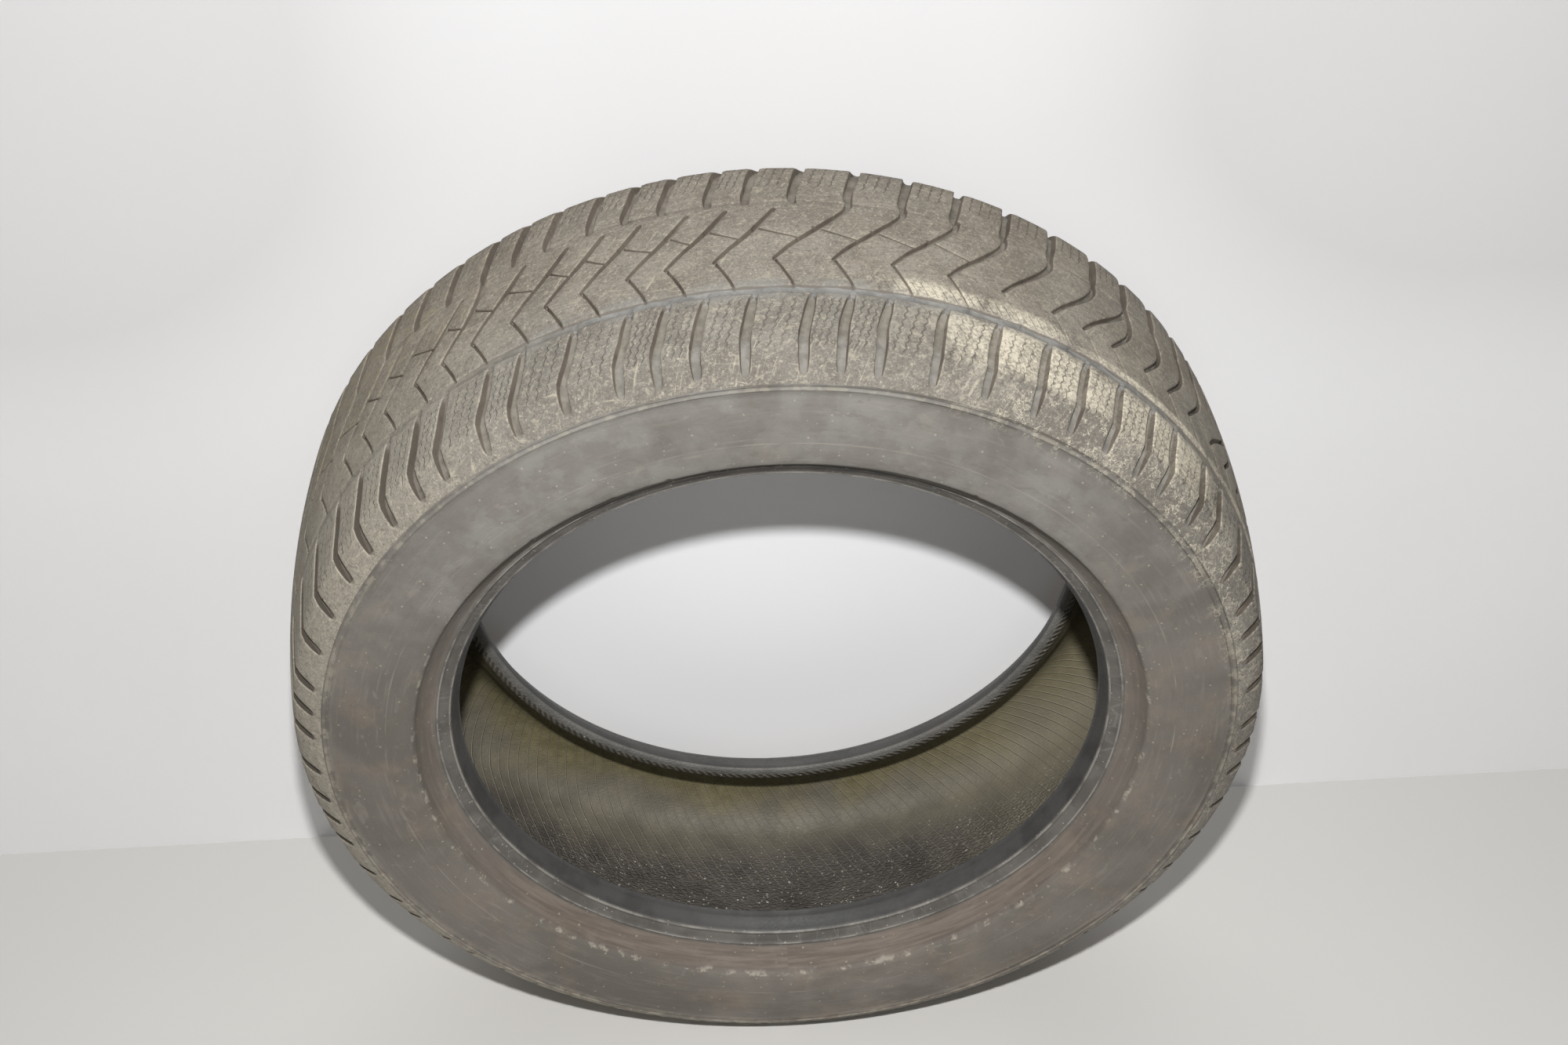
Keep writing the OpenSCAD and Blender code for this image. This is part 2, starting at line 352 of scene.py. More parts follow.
def tread_layout(cuts):
    """Triangles of the tread on its flat layout: points, faces."""
    points, edges = [], []

    def add_line(line, closed):
        first = len(points)
        points.extend((float(a), float(b)) for a, b in line)
        last = len(points)
        edges.extend((i, i + 1) for i in range(first, last - 1))
        if closed:
            edges.append((last - 1, first))

    overlap = 45.0
    copies = list(cuts)
    for cut in cuts:
        if cut.points[:, 0].max() > LENGTH - overlap:
            copies.append(cut.shifted(-LENGTH))
        if cut.points[:, 0].min() < overlap:
            copies.append(cut.shifted(LENGTH))
    for cut in copies:
        for offset in (cut.round_edge, 0.0, -cut.wall):
            loop = cut.outline(offset)
            if loop:
                add_line(loop, True)
    step = LENGTH / ROUND
    xs = np.arange(-6, ROUND + 7) * step
    for y, shifts in ((RING_GROOVE_Y, (-1.1, 0.05, 0.95)),
                      (RING_GROOVE_Y + RING_GROOVE_W, (-1.3, -0.1, 1.1)),
                      (FAR_Y, (-1.3, -0.4, 0.5))):
        for shift in shifts:
            add_line([(x, to_q(y) + shift) for x in xs], False)
    rows = np.concatenate([np.arange(-EDGE_Q + 4.5, EDGE_Q - 4.0, 7.4), [-EDGE_Q + 2.0, EDGE_Q - 2.0]])
    for k, q in enumerate(sorted(rows)):
        offset = 0.5 * step * (k % 2)
        points.extend((float(x + offset), float(q)) for x in xs[:-1])
    for q in (-EDGE_Q, EDGE_Q):
        add_line([(x, q) for x in xs], False)
    seam_rows = np.linspace(-EDGE_Q, EDGE_Q, 61)
    for x in (0.0, LENGTH):
        add_line([(x, q) for q in seam_rows], False)
    got = delaunay_2d_cdt([Vector(p) for p in points], edges, [], 0, 1e-3, False)
    verts = np.array([tuple(v) for v in got[0]])
    for x in (0.0, LENGTH):
        on_seam = np.abs(verts[:, 0] - x) < 0.02
        verts[on_seam, 0] = x
        verts[on_seam, 1] = np.round(verts[on_seam, 1], 2)
    faces = np.array([f for f in got[2] if len(f) == 3], int)
    middle = verts[faces].mean(axis=1)
    keep = (middle[:, 0] > 0.0) & (middle[:, 0] < LENGTH) & (np.abs(middle[:, 1]) < EDGE_Q)
    faces = faces[keep]
    used = np.unique(faces)
    renumber = np.full(len(verts), -1)
    renumber[used] = np.arange(len(used))
    return verts[used], renumber[faces]


def cut_depth(cuts, x, q):
    """Depth cut at the points x, q, and 1 on the floor of a wide groove down to 0 on its walls."""
    deep, floor = ring_cuts(x, q)
    for c in cuts:
        low_x, high_x = c.points[:, 0].min() - 6.0, c.points[:, 0].max() + 6.0
        for dx in (-LENGTH, 0.0, LENGTH):
            near = np.nonzero((x > low_x + dx) & (x < high_x + dx))[0]
            if len(near):
                this_deep, this_floor = c.depth(x[near] - dx, q[near])
                floor[near] = np.where(this_deep > deep[near], this_floor, floor[near])
                deep[near] = np.maximum(deep[near], this_deep)
    return deep, floor


def spin(r, y, angle):
    """Points at a radius and an angle from the top, turning towards +X."""
    return np.stack([r * np.sin(angle), y, r * np.cos(angle)], -1)


def press_flat(co):
    """The soft casing gives a little where it stands."""
    co[:, 2] = np.maximum(co[:, 2], FLAT_Z)
    return co


# ---------------- section beyond the tread's edge
def lip_u(bead_u):
    """Distance of a rim guard's lip from the middle, which follows its bead."""
    return HALF_WIDTH - GUARD_INSET - 0.7 * (NEAR_BEAD_U - bead_u)


def side_half(bead_u):
    """Outside from the tread's edge to the bead toe."""
    guard_u, heel_u = lip_u(bead_u), bead_u + BEAD_WIDTH
    points = [(RING_R + 3.2, RING_U - 0.6), (RING_R + 2.9, RING_U + 0.1), (RING_R + 2.2, RING_U + 0.2),
              (RING_R + 1.8, RING_U - 0.3), (RING_R + 0.3, RING_U - 0.1), (RING_R, RING_U + 0.5),
              (RING_R - 0.8, RING_U + 0.7), (RING_R - 1.3, RING_U + 0.2)]
    points += curve(points[-1], (WIDE_R + 0.42 * (RING_R - WIDE_R), HALF_WIDTH), (WIDE_R, HALF_WIDTH), 10)
    points += curve(points[-1], (GUARD_R + 0.5 * (WIDE_R - GUARD_R), HALF_WIDTH + 0.1),
                    (GUARD_R + 3.0, guard_u + 1.3), 4)
    points += [(GUARD_R + 1.6, guard_u + 0.8), (GUARD_R + 0.5, guard_u + 0.2), (GUARD_R - 0.3, guard_u - 1.0),
               (GUARD_R - 0.9, guard_u - 2.6), (GUARD_R - 1.8, guard_u - 4.4), (GUARD_R - 3.0, guard_u - 6.2)]
    points += curve(points[-1], (GUARD_R - 9.0, heel_u + 6.2), (HEEL_R + 10.4, heel_u + 4.6), 5)
    points += [(HEEL_R + 9.9, heel_u + 5.1), (HEEL_R + 9.3, heel_u + 5.1), (HEEL_R + 8.8, heel_u + 4.2)]
    points += curve(points[-1], (HEEL_R + 4.6, heel_u + 2.9), (HEEL_R + 2.6, heel_u + 1.6), 4)
    points += [(HEEL_R + 2.3, heel_u + 2.1), (HEEL_R + 1.6, heel_u + 1.8), (HEEL_R + 1.2, heel_u + 0.8),
               (HEEL_R + 0.2, heel_u - 0.9), (HEEL_R - 0.9, heel_u - 4.0), (TOE_R + 0.4, bead_u + 6.4),
               (TOE_R, bead_u + 4.6), (TOE_R, bead_u + 1.2), (TOE_R + 0.3, bead_u + 0.3)]
    return points


def liner_half(bead_u):
    """Inside from the bead toe to the middle of the tread."""
    points = [(TOE_R + 1.2, bead_u - 0.6), (TOE_R + 2.4, bead_u - 1.0), (TOE_R + 5.0, bead_u - 0.9),
              (TOE_R + 8.6, bead_u - 0.6), (TOE_R + 10.4, bead_u + 0.6), (TOE_R + 12.4, bead_u + 3.6),
              (TOE_R + 16.0, bead_u + 7.8), (TOE_R + 19.5, bead_u + 11.4)]
    points += curve(points[-1], (GUARD_R + 0.45 * (WIDE_R - GUARD_R), LINER_SIDE_U - 0.6),
                    (LINER_WIDE_R, LINER_SIDE_U), 6)
    points += curve(points[-1], (LINER_EDGE_R - 10.0, LINER_SIDE_U),
                    (LINER_EDGE_R - 1.0, LINER_EDGE_U + 3.0), 6)
    points += [(liner_r(u), u) for u in np.linspace(LINER_EDGE_U - 2.0, 0.0, 7)]
    return points


# The whole way from the near edge of the tread round the inside to its far edge.
near_outside, near_liner = side_half(NEAR_BEAD_U), liner_half(NEAR_BEAD_U)
far_outside, far_liner = side_half(FAR_BEAD_U), liner_half(FAR_BEAD_U)
section = [(r, -u) for r, u in near_outside + near_liner]
section += [(r, u) for r, u in far_liner[-2::-1] + far_outside[::-1]]
section_run = np.concatenate([[0.0], np.cumsum([math.dist(a, b) for a, b in zip(section[:-1], section[1:])])])
NEAR_TOE_RUN = 1.0 + section_run[len(near_outside)]
FAR_TOE_RUN = 1.0 + section_run[len(section) - len(far_outside)]


def edge_ring(x, q, q_edge):
    """Tread points on one edge of the layout, one for each step round."""
    ring = {}
    for i in np.nonzero(np.abs(q - q_edge) < 0.02)[0]:
        slot = x[i] / (LENGTH / ROUND)
        if abs(slot - round(slot)) < 0.01:
            ring.setdefault(int(round(slot)) % ROUND, i)
    return [ring[k] for k in range(ROUND)]


def make_chips():
    """Chips in the rim guards, (degrees from the top, side, width, bite): five seen, and smaller ones."""
    chip_rng = np.random.default_rng(3)
    chips = [(140.0, -1, 5.0, 1.6), (163.6, -1, 4.0, 1.4), (176.0, -1, 7.5, 1.9), (178.6, -1, 3.0, 1.2),
             (193.5, -1, 6.5, 1.5)]
    chips += [(chip_rng.uniform(0, 360), side, chip_rng.uniform(2, 4), chip_rng.uniform(0.4, 0.9))
              for side in (-1, 1) for _ in range(14)]
    return chips


def section_ring(r, u, outside, chips):
    """One ring of the section, chipped at the rim guard and a little uneven on the sidewall."""
    count = ROUND * 2 if outside and abs(r - GUARD_R) < 7.0 else ROUND
    angle = np.arange(count) / count * 2 * math.pi - math.pi
    radius, across = np.full(count, r), np.full(count, u)
    inward = -math.copysign(1, u)
    if outside and abs(r - GUARD_R) < 4.0:
        share = max(0.0, 1 - abs(r - GUARD_R - 0.3) / 3.0)
        for where, side, width, bite in chips:
            if side * u > 0:
                away = np.abs((np.degrees(angle) - where + 180) % 360 - 180) * math.pi / 180 * GUARD_R
                push = share * bite * np.clip(1 - (away / (width * 0.6)) ** 2, 0, 1)
                radius = radius + push * 0.7
                across = across + inward * push
    top, bottom = RING_R - 2.0, 240.0
    if outside and bottom < r < top:
        swell = 0.35 * np.sin(angle * 3 + u) + 0.2 * np.sin(angle * 7 + 2.0)
        across = across + inward * (0.45 + 0.6 * swell) * min(1.0, (top - r) / 10, (r - bottom) / 8)
    return spin(radius, across, angle)


def join_rings(low, high):
    """Faces between two rings, of which one may have twice the other's points."""
    n, m = len(low), len(high)
    faces = []
    for i in range(min(n, m)):
        j = (i + 1) % min(n, m)
        if n == m:
            faces.append((low[i], low[j], high[j], high[i]))
        elif m == 2 * n:
            faces.append((low[i], high[2 * i + 1], high[2 * i]))
            faces.append((low[i], low[j], high[2 * i + 1]))
            faces.append((low[j], high[(2 * i + 2) % m], high[2 * i + 1]))
        else:
            faces.append((high[i], low[2 * i], low[2 * i + 1]))
            faces.append((high[i], low[2 * i + 1], high[j]))
            faces.append((high[j], low[2 * i + 1], low[(2 * i + 2) % n]))
    return faces


def mark_blocks(mesh, x, y):
    """Gives every corner its way round from the groove before its block, and the block's pitch."""
    loops = np.zeros(len(mesh.loops), np.int32)
    mesh.loops.foreach_get("vertex_index", loops)
    starts = np.zeros(len(mesh.polygons), np.int32)
    mesh.polygons.foreach_get("loop_start", starts)
    sizes = np.zeros(len(mesh.polygons), np.int32)
    mesh.polygons.foreach_get("loop_total", sizes)
    corner_x, corner_y = x[loops], y[loops]
    face_x = np.repeat(np.add.reduceat(corner_x, starts) / sizes, sizes)
    face_y = np.repeat(np.add.reduceat(corner_y, starts) / sizes, sizes)
    corner_x = corner_x + np.round((face_x - corner_x) / LENGTH) * LENGTH
    place = np.zeros(len(loops))
    pitch = np.full(len(loops), 30.0)
    rows = ((near_places, -200.0, RING_GROOVE_Y + 3.0, 0.3, -65.2, 0.0),
            (middle_places, RING_GROOVE_Y + 3.0, 20.0, -0.42, -38.0, 10.0),
            (far_places, 20.0, 200.0, 0.3, FAR_Y + 14.0, 0.0))
    for places, low_y, high_y, lean, pivot, offset in rows:
        in_row = (face_y >= low_y) & (face_y < high_y)
        shift = lean * (corner_y - pivot) + offset
        face_shift = lean * (face_y - pivot) + offset
        grooves = np.concatenate([places - LENGTH, places, places + LENGTH])
        before = np.clip(np.searchsorted(grooves, face_x - face_shift) - 1, 0, len(grooves) - 2)
        place = np.where(in_row, corner_x - shift - grooves[before], place)
        pitch = np.where(in_row, grooves[before + 1] - grooves[before], pitch)
    for name, values in (("block_place", place), ("block_pitch", pitch)):
        mesh.attributes.new(name, "FLOAT", "CORNER").data.foreach_set("value", values.astype(np.float32))


def weld(mesh):
    """Joins the seam of the layout, turns every face outward and shades it smooth."""
    bm = bmesh.new()
    bm.from_mesh(mesh)
    bmesh.ops.remove_doubles(bm, verts=bm.verts, dist=2e-5)
    rim = [e for e in bm.edges if len(e.link_faces) == 1]
    if rim:
        bmesh.ops.holes_fill(bm, edges=rim, sides=6)
    bmesh.ops.recalc_face_normals(bm, faces=bm.faces)
    for f in bm.faces:
        f.smooth = True
    bm.to_mesh(mesh)
    bm.free()


def build_mesh():
    """The tread from its flat layout, and the rest of the section as rings."""
    cuts = make_grooves()
    flat, faces = tread_layout(cuts)
    x, q = flat[:, 0], flat[:, 1]
    deep, floor = cut_depth(cuts, x, q)
    fade = np.clip((EDGE_Q - np.abs(q)) / 2.0, 0.0, 1.0)
    deep = deep * fade
    r, y, normal_r, normal_y = surface(q)
    angle = x / FLAT_R - math.pi
    worn = 0.25 * np.sin(angle * 9 + 1.0) * np.sin(angle * 4) * fade
    points = [spin(r - (deep + 0.12 + worn * 0.5) * normal_r, y - deep * normal_y, angle)]
    along = [np.zeros(len(x))]
    rings = [edge_ring(x, q, -EDGE_Q)]
    count = len(x)
    chips = make_chips()
    for k, (ring_r, ring_u) in enumerate(section):
        outside = k < len(near_outside) or k >= len(section) - len(far_outside)
        ring = section_ring(ring_r, ring_u, outside, chips)
        points.append(ring)
        along.append(np.full(len(ring), 1.0 + section_run[k]))
        rings.append(list(range(count, count + len(ring))))
        count += len(ring)
    rings.append(edge_ring(x, q, EDGE_Q))
    faces = [tuple(f) for f in faces]
    for low, high in zip(rings[:-1], rings[1:]):
        faces += join_rings(low, high)

    co = press_flat(np.vstack(points))
    shifted = co + np.array([0.0, BEAD_CREEP, 0.0])
    mesh = bpy.data.meshes.new("tyre_rubber")
    mesh.from_pydata([tuple(v) for v in shifted * MM], [], faces)
    mesh.validate()
    beyond = np.zeros(count - len(x))
    for name, values in (("cut_depth", np.concatenate([deep, beyond])),
                         ("cut_floor", np.concatenate([floor, beyond])),
                         ("along", np.concatenate(along))):
        mesh.attributes.new(name, "FLOAT", "POINT").data.foreach_set("value", values.astype(np.float32))
    mark_blocks(mesh, np.concatenate([x, beyond]), co[:, 1])
    weld(mesh)
    return mesh


# ---------------- material
def srgb(red, green, blue):
    """A linear colour from 0-255 display values."""
    out = []
    for v in (red, green, blue):
        v = v / 255.0
        out.append(v / 12.92 if v <= 0.04045 else ((v + 0.055) / 1.055) ** 2.4)
    return (*out, 1.0)


class Nodes:
    """A short way to write shader nodes: every call gives an output socket."""

    def __init__(self, owner):
        owner.use_nodes = True
        self.tree = owner.node_tree
        self.tree.nodes.clear()

    def node(self, kind, inputs=(), out=0, **settings):
        """A node whose inputs, by name or number, are set or linked."""
        new = self.tree.nodes.new(kind)
        for name, value in settings.items():
            setattr(new, name, value)
        for name, value in dict(inputs).items():
            if isinstance(value, bpy.types.NodeSocket):
                self.tree.links.new(value, new.inputs[name])
            else:
                new.inputs[name].default_value = value
        return new.outputs[out] if new.outputs else None

    def math(self, op, a, b=0.0):
        return self.node("ShaderNodeMath", {0: a, 1: b}, operation=op)

    def add(self, a, b):
        return self.math("ADD", a, b)

    def sub(self, a, b):
        return self.math("SUBTRACT", a, b)

    def mul(self, a, b):
        return self.math("MULTIPLY", a, b)

    def most(self, a, b):
        return self.math("MAXIMUM", a, b)

    def step(self, value, low, high, to_low=0.0, to_high=1.0):
        """Smooth change from one value to another as the input goes from low to high."""
        inputs = enumerate((value, low, high, to_low, to_high))
        return self.node("ShaderNodeMapRange", inputs, interpolation_type="SMOOTHSTEP")

    def band(self, value, low, high, soft):
        """1 between low and high, 0 outside, with soft edges."""
        rising = self.step(value, low - soft, low + soft)
        return self.mul(rising, self.step(value, high - soft, high + soft, 1.0, 0.0))

    def line(self, value, place, core, edge):
        """1 closer than core to a place, 0 beyond edge."""
        return self.step(self.math("ABSOLUTE", self.sub(value, place)), core, edge, 1.0, 0.0)

    def vector(self, x, y, z):
        return self.node("ShaderNodeCombineXYZ", {0: x, 1: y, 2: z})

    def parts(self, vector):
        """X, Y and Z of a vector."""
        return tuple(self.node("ShaderNodeSeparateXYZ", {0: vector}).node.outputs)

    def coordinates(self):
        return self.node("ShaderNodeTexCoord", out="Object")

    def noise(self, where, scale, detail, rough=0.55, warp=0.0):
        inputs = {"Vector": where, "Scale": scale, "Detail": detail, "Roughness": rough, "Distortion": warp}
        return self.node("ShaderNodeTexNoise", inputs, "Fac")

    def cells(self, where, scale, feature="F1"):
        inputs = {"Vector": where, "Scale": scale}
        return self.node("ShaderNodeTexVoronoi", inputs, "Distance", feature=feature)

    def mix(self, factor, a, b):
        inputs = {"Factor": factor, 6: a, 7: b}
        return self.node("ShaderNodeMix", inputs, 2, data_type="RGBA", clamp_factor=True)

    def tones(self, value, low, high, first, last):
        """A colour that goes from one display colour to another as the input goes from low to high."""
        return self.mix(self.step(value, low, high), srgb(*first), srgb(*last))

    def layers(self, colour, coats):
        """Lays coats (share, strength, display colour or socket) over a colour, one after the other."""
        for share, strength, over in coats:
            over = srgb(*over) if isinstance(over, tuple) else over
            colour = self.mix(self.mul(share, strength), colour, over)
        return colour

    def attribute(self, name):
        return self.node("ShaderNodeAttribute", out="Fac", attribute_name=name)


def material(name, make_surface):
    """A material with the surface that a function of its nodes gives."""
    mat = bpy.data.materials.new(name)
    n = Nodes(mat)
    n.node("ShaderNodeOutputMaterial", {"Surface": make_surface(n)})
    return mat


class Place:
    """Where a shaded point lies on the casing, in millimetres and degrees, and the shared noises.

    The looks below take n, the material's Nodes, and p, its Place.
    """

    def __init__(self, n):
        scale = {0: n.coordinates(), "Scale": 1.0 / MM}
        self.mm = n.node("ShaderNodeVectorMath", scale, operation="SCALE")
        x, y, z = n.parts(self.mm)
        self.y = n.sub(y, BEAD_CREEP)
        self.radius = n.math("SQRT", n.add(n.mul(x, x), n.mul(z, z)))
        self.turn = n.math("ARCTAN2", x, z)
        self.arc = n.mul(self.turn, 300.0)
        self.degrees = n.mul(self.turn, 180.0 / math.pi)
        self.deep = n.attribute("cut_depth")
        self.floor = n.attribute("cut_floor")
        self.along = n.attribute("along")
        self.place = n.attribute("block_place")
        self.pitch = n.attribute("block_pitch")

        self.tread = n.step(self.along, 0.2, 0.9, 1.0, 0.0)
        self.inside = n.band(self.along, NEAR_TOE_RUN, FAR_TOE_RUN, 0.8)
        outside = n.mul(n.sub(1.0, self.tread), n.sub(1.0, self.inside))
        self.bead = n.mul(outside, n.step(self.radius, 215.0, 217.5, 1.0, 0.0))
        self.side = n.mul(outside, n.sub(1.0, self.bead))
        self.near = n.step(self.y, -1.0, 1.0, 1.0, 0.0)
        self.top = n.band(self.degrees, -62.0, 62.0, 24.0)

        self.cloud = n.noise(self.mm, 0.011, 3.0, 0.55, 0.6)
        self.patch = n.noise(self.mm, 0.035, 4.0, 0.6)
        self.blotch = n.noise(self.mm, 0.11, 4.0, 0.62)
        self.grain = n.noise(self.mm, 0.55, 2.0, 0.6)
        self.fine = n.noise(self.mm, 2.2, 1.0, 0.5)
        self.cells = n.cells(self.mm, 0.19)
        self.small_cells = n.cells(self.mm, 0.36)
        self.kept = n.step(n.noise(self.mm, 0.35, 0.0), 0.52, 0.6)
        ringwise = n.vector(n.mul(self.arc, 0.022), n.mul(self.y, 0.42), n.mul(self.radius, 0.42))
        self.streak = n.noise(ringwise, 1.0, 4.0, 0.6)

    def scratches(self, n, lean, seed, low, high):
        """Thin lines at an angle on the laid-out tread, in degrees from the way round."""
        c, s = math.cos(math.radians(lean)), math.sin(math.radians(lean))
        on = n.add(n.mul(self.arc, 0.03 * c), n.mul(self.y, 0.03 * s))
        off = n.add(n.mul(self.arc, -0.62 * s), n.mul(self.y, 0.62 * c))
        field = n.noise(n.vector(on, off, seed), 1.0, 3.0, 0.55, 0.35)
        return n.step(field, low, high)

    def flecks(self, n, cells, size):
        """Small spots in the middles of some of the cells."""
        return n.mul(n.step(cells, size, size * 1.7, 1.0, 0.0), self.kept)


def sipe_lines(n, p):
    """Fine cuts in the blocks: zigzag near the photographed side, straight at the far one."""
    share = n.math("DIVIDE", p.place, p.pitch)
    wave = n.sub(n.math("PINGPONG", p.y, 2.9), 1.45)

    def lines(spacing, most, lean, width):
        slot = n.math("DIVIDE", n.sub(share, 0.5), spacing)
        nearest = n.math("MINIMUM", n.most(n.math("ROUND", slot), -most), most)
        away = n.mul(n.mul(n.sub(slot, nearest), spacing), p.pitch)
        return n.step(n.math("ABSOLUTE", n.add(away, n.mul(wave, lean))), 0.2, width, 1.0, 0.0)

    near_line = n.mul(lines(0.2, 1.0, 0.5, 0.6), n.band(p.y, -84.0, -47.5, 1.6))
    rib_line = n.mul(lines(0.17, 2.0, 0.0, 0.5), n.band(p.y, -35.5, -25.5, 1.0))
    rib_line = n.mul(rib_line, n.mul(n.band(p.degrees, 12.0, 34.0, 6.0), 0.8))
    far_line = n.mul(lines(0.2, 1.0, 0.3, 0.5), n.band(p.y, 61.0, 88.0, 1.6))
    sipe = n.most(n.most(near_line, rib_line), far_line)
    return n.mul(n.mul(sipe, p.tread), n.step(p.deep, 0.25, 0.6, 1.0, 0.0))


def dried_mud(n, p, in_cut):
    """Pale mud, mostly to the upper right: a veil on the blocks, crusts in it and dried puddles' rims."""
    blocks = n.mul(n.band(p.degrees, 19.0, 62.0, 9.0), n.band(p.y, -82.0, -45.0, 6.0))
    rib = n.mul(n.band(p.degrees, 13.0, 36.0, 5.0), n.band(p.y, -38.0, -24.0, 4.0))
    edge = n.mul(n.band(p.degrees, 34.0, 80.0, 8.0), n.band(p.y, -37.0, -31.0, 2.0))
    reach = n.most(n.most(blocks, n.mul(rib, 0.85)), edge)
    reach = n.mul(reach, p.tread)
    field = n.add(n.mul(p.patch, 0.55), n.mul(n.noise(p.mm, 0.16, 4.0, 0.7), 0.6))
    veil = n.mul(reach, n.step(n.add(field, n.mul(reach, 0.14)), 0.53, 0.65))
    crust_field = n.add(n.mul(n.noise(p.mm, 0.3, 4.0, 0.75), 0.7), n.mul(p.patch, 0.45))
    crust = n.step(n.add(crust_field, n.mul(reach, 0.1)), 0.635, 0.72)
    ring_rub = n.mul(n.mul(p.near, p.side), n.step(p.radius, 274.0, 281.0))
    low = n.most(n.mul(n.step(p.y, -68.0, -80.0), p.tread), ring_rub)
    low = n.mul(low, n.band(p.degrees, 24.0, 84.0, 12.0))
    puddle = n.mul(n.line(field, 0.6, 0.003, 0.014), low)
    puddle = n.mul(puddle, n.step(p.blotch, 0.42, 0.52))
    crust = n.most(n.mul(crust, n.most(reach, n.mul(low, 0.5))), puddle)
    bare = n.sub(1.0, n.mul(in_cut, 0.9))
    return n.mul(veil, bare), n.mul(crust, bare)


def tread_look(n, p):
    """Colour and relief of the tread."""
    base = n.tones(p.patch, 0.36, 0.66, (130, 122, 110), (157, 149, 136))
    near = n.tones(p.patch, 0.36, 0.66, (122, 117, 109), (151, 146, 137))
    left = n.step(p.degrees, -22.0, -62.0)
    scuff_on = n.mul(n.add(p.arc, n.mul(p.y, 0.7)), 0.045)
    scuff_off = n.mul(n.sub(p.y, n.mul(p.arc, 0.25)), 0.5)
    scuff = n.noise(n.vector(scuff_on, scuff_off, 0.0), 1.0, 4.0, 0.7, 0.8)
    scratch = n.most(p.scratches(n, 62.0, 3.0, 0.6, 0.68), p.scratches(n, -8.0, 9.0, 0.62, 0.7))
    speckle = n.noise(p.mm, 0.32, 3.0, 0.75)
    grit = n.noise(p.mm, 0.8, 2.0, 0.7)
    dust = n.mul(n.mul(left, n.step(p.y, -8.0, 30.0)), n.step(p.blotch, 0.46, 0.6))
    # Pale rim along the groove edges: partly wear, partly a painted highlight.
    edge = n.mul(n.band(p.deep, 0.06, 0.24, 0.03), n.step(p.blotch, 0.48, 0.6))
    bloom = n.mul(n.band(p.y, -48.0, -32.0, 3.0), n.band(p.degrees, -28.0, 56.0, 10.0))
    colour = n.layers(n.mix(n.step(p.y, -26.0, -50.0), base, near), [
        (n.step(p.y, 5.0, 50.0), 0.25, (128, 117, 105)),
        # Lighter on the left: partly dust, partly painted light.
        (n.mul(left, n.step(p.y, -40.0, -50.0)), 0.6, (160, 153, 141)),
        (n.step(p.y, -78.0, -91.0), 0.6, (114, 109, 102)),
        (n.step(p.cloud, 0.42, 0.62), 0.35, (140, 136, 129)),
        (n.band(p.degrees, -32.0, 18.0, 14.0), 0.17, (92, 86, 78)),
        # Lighter again on the left, towards the middle: partly dust, partly painted light.
        (n.mul(left, n.step(p.y, 4.0, -14.0)), 0.36, (178, 170, 154)),
        (n.step(scuff, 0.54, 0.7), 0.5, (174, 165, 149)),
        (n.step(scuff, 0.46, 0.32), 0.4, (112, 104, 94)),
        (n.mul(scratch, n.step(p.blotch, 0.42, 0.56)), 0.6, (192, 184, 164)),
        (n.step(speckle, 0.54, 0.66), 0.5, (180, 172, 154)),
        (n.step(speckle, 0.46, 0.35), 0.5, (102, 94, 84)),
        (n.step(grit, 0.55, 0.66), 0.35, (188, 180, 162)),
        (n.step(grit, 0.45, 0.34), 0.35, (96, 88, 78)),
        (p.flecks(n, p.cells, 0.12), 0.5, (196, 188, 168)),
        (n.mul(n.step(p.blotch, 0.6, 0.72), n.step(p.cloud, 0.4, 0.56)), 0.5, (184, 175, 154)),
        (dust, 0.45, (158, 146, 112)),
        (edge, n.step(p.y, -30.0, -46.0, 0.15, 0.4), (182, 174, 156)),
        (n.mul(bloom, n.step(p.patch, 0.34, 0.56)), 0.55, (139, 138, 134)),
    ])

    near_left = n.mul(left, n.step(p.y, -44.0, -50.0))
    # Groove walls: painted shade, darker than the blocks and darkest in the near grooves on the left; dust
    # lightens the middle and far ones on the left, and the ring groove's.
    wall = n.layers(n.tones(p.patch, 0.35, 0.65, (80, 72, 63), (100, 91, 80)), [
        (n.mul(left, n.step(p.y, -40.0, -30.0)), 0.35, (116, 108, 94)),
        (near_left, 1.0, (68, 62, 54)),
        (n.band(p.y, -46.0, -34.5, 1.5), 0.7, (122, 117, 110)),
    ])
    blue = n.tones(p.blotch, 0.35, 0.65, (126, 126, 123), (146, 145, 142))
    blue_ring = n.mul(n.band(p.y, -46.0, -34.0, 2.0), n.band(p.degrees, -26.0, 52.0, 10.0))
    blue_end = n.mul(n.mul(n.step(p.y, -68.0, -80.0), n.band(p.degrees, -20.0, 60.0, 12.0)), 0.5)
    floor = n.layers(n.tones(p.blotch, 0.35, 0.65, (116, 110, 100), (138, 132, 122)), [
        # Painted shade: the floors of the near grooves on the left are dark too.
        (near_left, 0.75, (76, 69, 61)),
        (n.most(blue_ring, blue_end), 0.85, blue),
    ])
    in_cut = n.step(p.deep, 0.3, 0.9)
    veil, crust = dried_mud(n, p, in_cut)
    sipe = sipe_lines(n, p)
    sipe_seen = n.mul(sipe, n.step(n.noise(p.mm, 0.06, 2.0), 0.4, 0.6, 0.1, 0.9))
    colour = n.layers(colour, [
        (in_cut, 0.95, n.mix(n.step(p.floor, 0.7, 0.95), wall, floor)),
        (veil, 0.85, n.tones(p.grain, 0.38, 0.62, (160, 151, 135), (208, 199, 181))),
        (crust, n.step(p.grain, 0.34, 0.5, 0.35, 0.85), (224, 215, 193)),
        (n.mul(sipe_seen, n.step(p.degrees, -15.0, -40.0, 1.0, 0.4)), 0.55, (98, 91, 82)),
    ])

    height = n.add(n.mul(n.sub(p.blotch, 0.5), 0.7), n.mul(n.sub(p.grain, 0.5), 0.3))
    height = n.sub(height, n.mul(sipe, 0.6))
    return colour, height, crust


